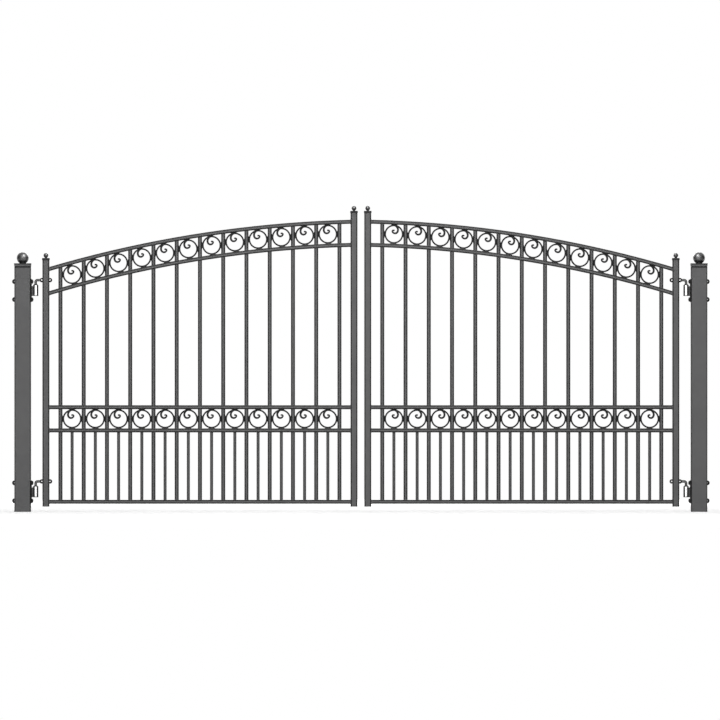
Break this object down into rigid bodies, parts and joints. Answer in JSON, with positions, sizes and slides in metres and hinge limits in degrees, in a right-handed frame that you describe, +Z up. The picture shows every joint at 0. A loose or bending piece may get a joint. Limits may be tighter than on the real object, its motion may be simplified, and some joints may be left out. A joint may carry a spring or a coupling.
{
  "type": "twin-leaf driveway gate",
  "caption": "Arched twin-leaf steel driveway gate with scroll-ring bands and square pickets, hung by hook bolts in barrel brackets between two square posts with ball finials.",
  "frame": {"origin": "centre of the left post's foot, on the ground", "axes": "X runs along the gate to the right post, Y points away from the front, Z is up"},
  "size_m": [4.318, 0.106, 1.8938],
  "materials": {
    "coated_steel": "satin charcoal powder coat",
    "hinges": "satin charcoal coat on hinge ironwork",
    "fasteners": "satin charcoal coat on bolts and nuts"
  },
  "bodies": {
    "posts": {"left_post": "coated_steel", "right_post": "coated_steel", "left_post_cap": "coated_steel", "right_post_cap": "coated_steel", "left_upper_bracket": "hinges", "left_lower_bracket": "hinges", "right_upper_bracket": "hinges", "right_lower_bracket": "hinges", "left_post_bolts": "fasteners", "right_post_bolts": "fasteners", "left_post_nuts": "fasteners", "right_post_nuts": "fasteners"},
    "left_leaf": {"left_hinge_stile": "coated_steel", "left_meeting_stile": "coated_steel", "left_hinge_stile_cap": "coated_steel", "left_meeting_stile_cap": "coated_steel", "left_top_rail": "coated_steel", "left_lower_arch_rail": "coated_steel", "left_upper_band_rail": "coated_steel", "left_lower_band_rail": "coated_steel", "left_bottom_rail": "coated_steel", "left_pickets": "coated_steel", "left_short_pickets": "coated_steel", "left_arch_rings": "coated_steel", "left_band_rings": "coated_steel", "left_upper_hook": "hinges", "left_lower_hook": "hinges", "left_hook_nuts": "fasteners"},
    "right_leaf": {"right_hinge_stile": "coated_steel", "right_meeting_stile": "coated_steel", "right_hinge_stile_cap": "coated_steel", "right_meeting_stile_cap": "coated_steel", "right_top_rail": "coated_steel", "right_lower_arch_rail": "coated_steel", "right_upper_band_rail": "coated_steel", "right_lower_band_rail": "coated_steel", "right_bottom_rail": "coated_steel", "right_pickets": "coated_steel", "right_short_pickets": "coated_steel", "right_arch_rings": "coated_steel", "right_band_rings": "coated_steel", "right_upper_hook": "hinges", "right_lower_hook": "hinges", "right_hook_nuts": "fasteners"}
  },
  "joints": [
    {"name": "left_leaf_hinge", "type": "hinge", "parent": "posts", "child": "left_leaf", "pos_m": [0.08, 0, 0.188], "axis": [0, 0, 1], "range_deg": [-90, 90]},
    {"name": "right_leaf_hinge", "type": "hinge", "parent": "posts", "child": "right_leaf", "pos_m": [4.106, 0, 0.188], "axis": [0, 0, -1], "range_deg": [-90, 90]}
  ]
}
